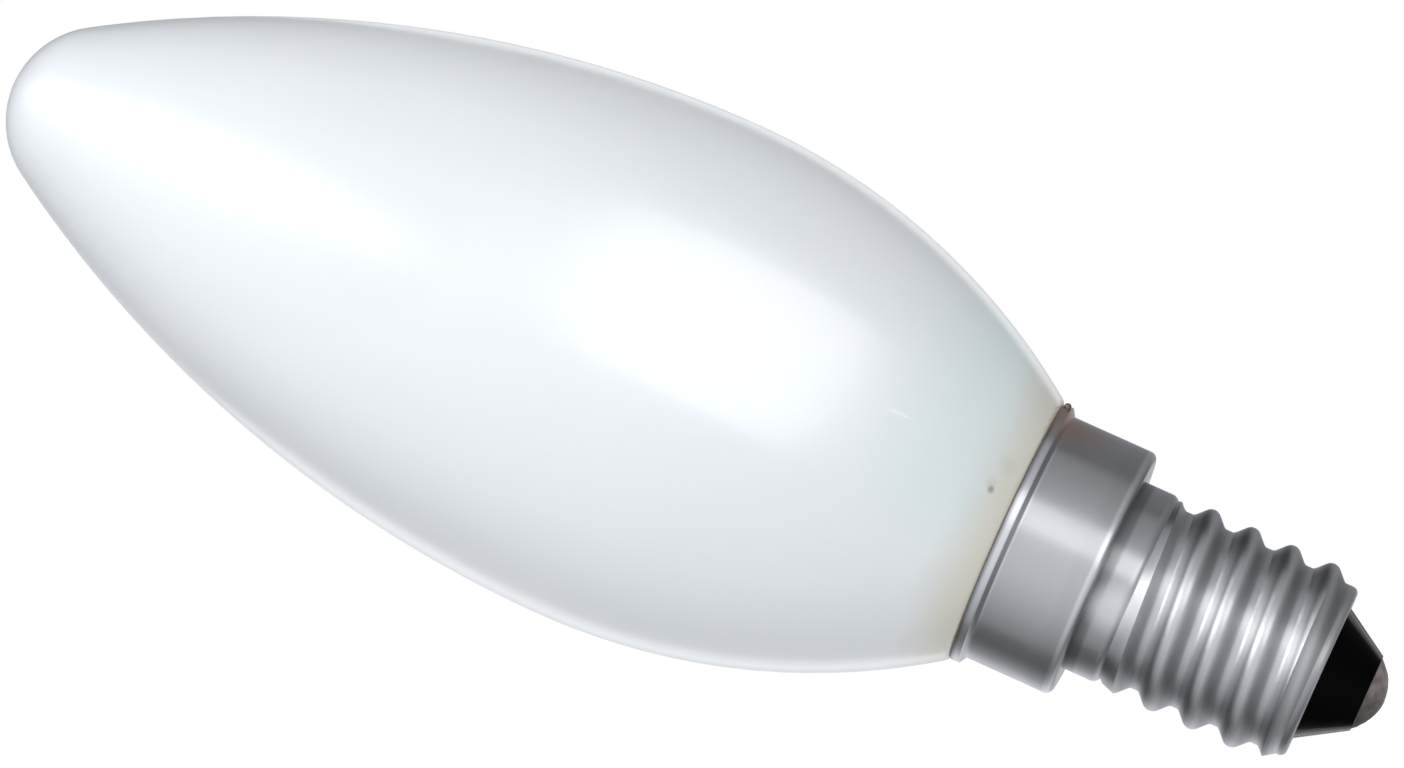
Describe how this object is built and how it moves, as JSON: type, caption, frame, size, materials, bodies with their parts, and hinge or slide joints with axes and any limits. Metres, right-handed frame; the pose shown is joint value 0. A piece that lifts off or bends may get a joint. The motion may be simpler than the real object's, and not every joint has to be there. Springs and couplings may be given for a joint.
{
  "type": "candle bulb",
  "caption": "Candle-shaped lamp bulb of opal white glass with a small metal screw cap, black insulator and soldered end contact.",
  "frame": {"origin": "apex of the centre contact, on the axis of the bulb", "axes": "+Z along the axis from the contact to the tip of the glass; +X towards the side where a thread crest lies 6.54 mm above the contact; the weld on the lip is 12 degrees from +X towards -Y"},
  "size_m": [0.035, 0.035, 0.0985],
  "materials": {
    "opal_glass": "opal white, satin",
    "cement": "matte cream",
    "cap_metal": "satin rolled sheet",
    "black_glass": "glossy black",
    "contact_brass": "dull",
    "solder": "dull grey",
    "lead_wire": "drawn copper-coloured wire",
    "weld_metal": "dark, heat tinted"
  },
  "bodies": {
    "root": {"glass_bulb": "opal_glass", "basing_cement": "cement", "cap_shell": "cap_metal", "insulator": "black_glass", "contact_plate": "contact_brass", "contact_solder": "solder", "centre_lead": "lead_wire", "side_lead": "lead_wire", "side_weld": "weld_metal"}
  },
  "joints": []
}
